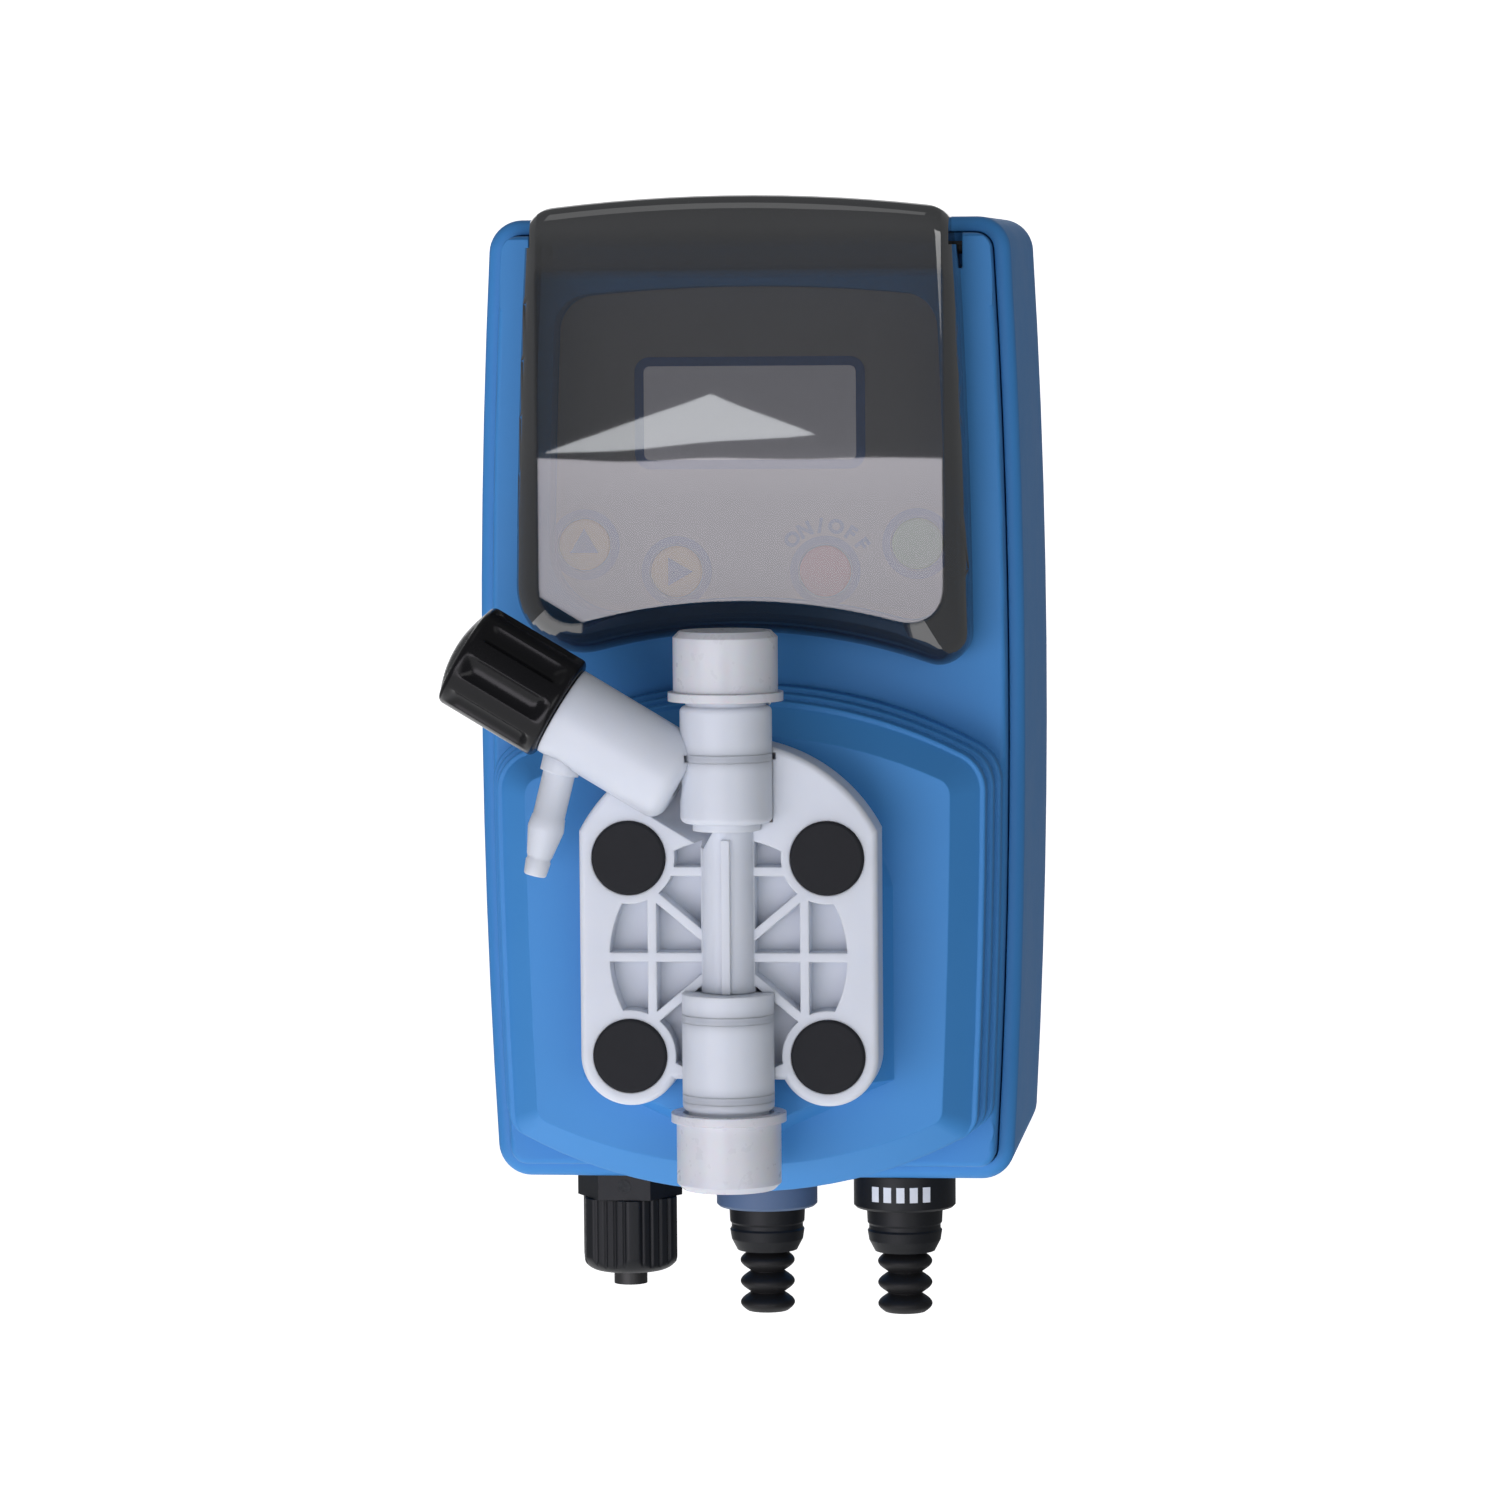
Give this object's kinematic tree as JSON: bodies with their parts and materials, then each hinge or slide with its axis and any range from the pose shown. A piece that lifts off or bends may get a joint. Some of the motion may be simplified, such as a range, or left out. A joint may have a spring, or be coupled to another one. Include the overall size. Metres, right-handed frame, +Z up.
{
  "type": "diaphragm metering pump",
  "caption": "Wall-mounted solenoid diaphragm metering pump with a blue case, hinged smoky window, white ribbed head, bleed valve and capped ports.",
  "frame": {"origin": "centre of the four wall-fixing holes, on the back face", "axes": "+Z up, +Y into the wall, the front faces -Y, +X to the right seen from the front"},
  "size_m": [0.1078, 0.1249, 0.2203],
  "materials": {
    "blue_case": "fine-grained moulded blue plastic, semi-matt",
    "smoky_window": "smoke-tinted transparent plastic, polished",
    "natural_plastic": "natural translucent white fluoroplastic, satin",
    "clear_cap": "frosted translucent polyethylene",
    "black_plastic": "black glass-filled plastic, matt",
    "grey_plastic": "dark grey plastic, matt",
    "keypad_grey": "printed grey membrane film",
    "key_blue": "printed membrane key",
    "display_glass": "grey-green liquid crystal display",
    "black_rubber": "black elastomer",
    "white_ptfe": "white PTFE facing",
    "stainless_steel": "plain stainless steel",
    "magnet_steel": "zinc-plated magnet steel",
    "brass": "turned brass",
    "coil_tape": "taped copper winding",
    "circuit_board": "green solder mask",
    "white_ceramic": "ground ceramic",
    "spindle_plastic": "white fluoroplastic"
  },
  "bodies": {
    "pump_case": {"bleed_nozzle": "natural_plastic", "bleed_o_ring": "black_rubber", "board_parts": "black_plastic", "board_screws": "stainless_steel", "case_gasket": "black_rubber", "case_screws": "stainless_steel", "control_board": "circuit_board", "delivery_cage": "natural_plastic", "delivery_o_ring": "black_rubber", "delivery_seat": "natural_plastic", "delivery_valve_body": "natural_plastic", "diaphragm": "white_ptfe", "display_module": "display_glass", "front_shell": "blue_case", "gland_body": "black_plastic", "gland_locknut": "black_plastic", "gland_seal": "black_rubber", "guide_tube": "brass", "head_screws": "stainless_steel", "hinge_pins": "stainless_steel", "keypad_film": "keypad_grey", "level_locknut": "black_plastic", "level_socket": "black_plastic", "pump_head": "natural_plastic", "rear_housing": "blue_case", "return_spring": "stainless_steel", "screw_caps": "black_plastic", "signal_locknut": "black_plastic", "signal_socket": "grey_plastic", "solenoid_cap": "magnet_steel", "solenoid_coil": "coil_tape", "solenoid_flange": "magnet_steel", "solenoid_yoke": "magnet_steel", "suction_cage": "natural_plastic", "suction_o_rings": "black_rubber", "suction_seat": "natural_plastic", "suction_valve_body": "natural_plastic", "support_ring": "black_plastic", "wall_inserts": "brass"},
    "window_cover": {"window_cover": "smoky_window"},
    "key_up": {"key_up": "key_blue"},
    "key_right": {"key_right": "key_blue"},
    "key_start": {"key_start": "key_blue"},
    "key_program": {"key_program": "key_blue"},
    "bleed_knob": {"bleed_knob": "black_plastic", "bleed_spindle": "spindle_plastic"},
    "plunger": {"plunger": "magnet_steel", "push_rod": "stainless_steel"},
    "delivery_ball": {"delivery_ball": "white_ceramic"},
    "suction_ball": {"suction_ball": "white_ceramic"},
    "delivery_cap": {"delivery_cap": "clear_cap"},
    "suction_cap": {"suction_cap": "clear_cap"},
    "signal_plug": {"signal_plug": "black_plastic", "signal_boot": "black_rubber"},
    "level_plug": {"level_plug": "black_plastic", "level_boot": "black_rubber"},
    "gland_nut": {"gland_nut": "black_plastic"}
  },
  "joints": [
    {"name": "cover_hinge", "type": "hinge", "parent": "pump_case", "child": "window_cover", "pos_m": [0, -0.073, 0.088], "axis": [-1, 0, 0], "range_deg": [0, 85]},
    {"name": "key_up_press", "type": "slide", "parent": "pump_case", "child": "key_up", "axis": [0, 1, 0], "range_m": [0, 0.0005], "stiffness_N_per_m": 600},
    {"name": "key_right_press", "type": "slide", "parent": "pump_case", "child": "key_right", "axis": [0, 1, 0], "range_m": [0, 0.0005], "stiffness_N_per_m": 600},
    {"name": "key_start_press", "type": "slide", "parent": "pump_case", "child": "key_start", "axis": [0, 1, 0], "range_m": [0, 0.0005], "stiffness_N_per_m": 600},
    {"name": "key_program_press", "type": "slide", "parent": "pump_case", "child": "key_program", "axis": [0, 1, 0], "range_m": [0, 0.0005], "stiffness_N_per_m": 600},
    {"name": "bleed_turn", "type": "hinge", "parent": "pump_case", "child": "bleed_knob", "pos_m": [0, -0.114, -0.0176], "axis": [-0.8572, 0, 0.515], "range_deg": [0, 360]},
    {"name": "plunger_stroke", "type": "slide", "parent": "pump_case", "child": "plunger", "axis": [0, -1, 0], "range_m": [0, 0.00125], "stiffness_N_per_m": 1500, "deforming": ["return_spring", "diaphragm"]},
    {"name": "delivery_ball_lift", "type": "slide", "parent": "pump_case", "child": "delivery_ball", "axis": [0, 0, 1], "range_m": [0, 0.0012]},
    {"name": "suction_ball_lift", "type": "slide", "parent": "pump_case", "child": "suction_ball", "axis": [0, 0, 1], "range_m": [0, 0.0012]},
    {"name": "delivery_cap_pull", "type": "slide", "parent": "pump_case", "child": "delivery_cap", "axis": [0, 0, 1], "range_m": [0, 0.016]},
    {"name": "suction_cap_pull", "type": "slide", "parent": "pump_case", "child": "suction_cap", "axis": [0, 0, -1], "range_m": [0, 0.016]},
    {"name": "signal_plug_pull", "type": "slide", "parent": "pump_case", "child": "signal_plug", "axis": [0, 0, -1], "range_m": [0, 0.012]},
    {"name": "level_plug_pull", "type": "slide", "parent": "pump_case", "child": "level_plug", "axis": [0, 0, -1], "range_m": [0, 0.012]},
    {"name": "gland_nut_turn", "type": "hinge", "parent": "pump_case", "child": "gland_nut", "pos_m": [-0.0263, -0.058, -0.1], "axis": [0, 0, 1], "range_deg": [0, 360]}
  ]
}
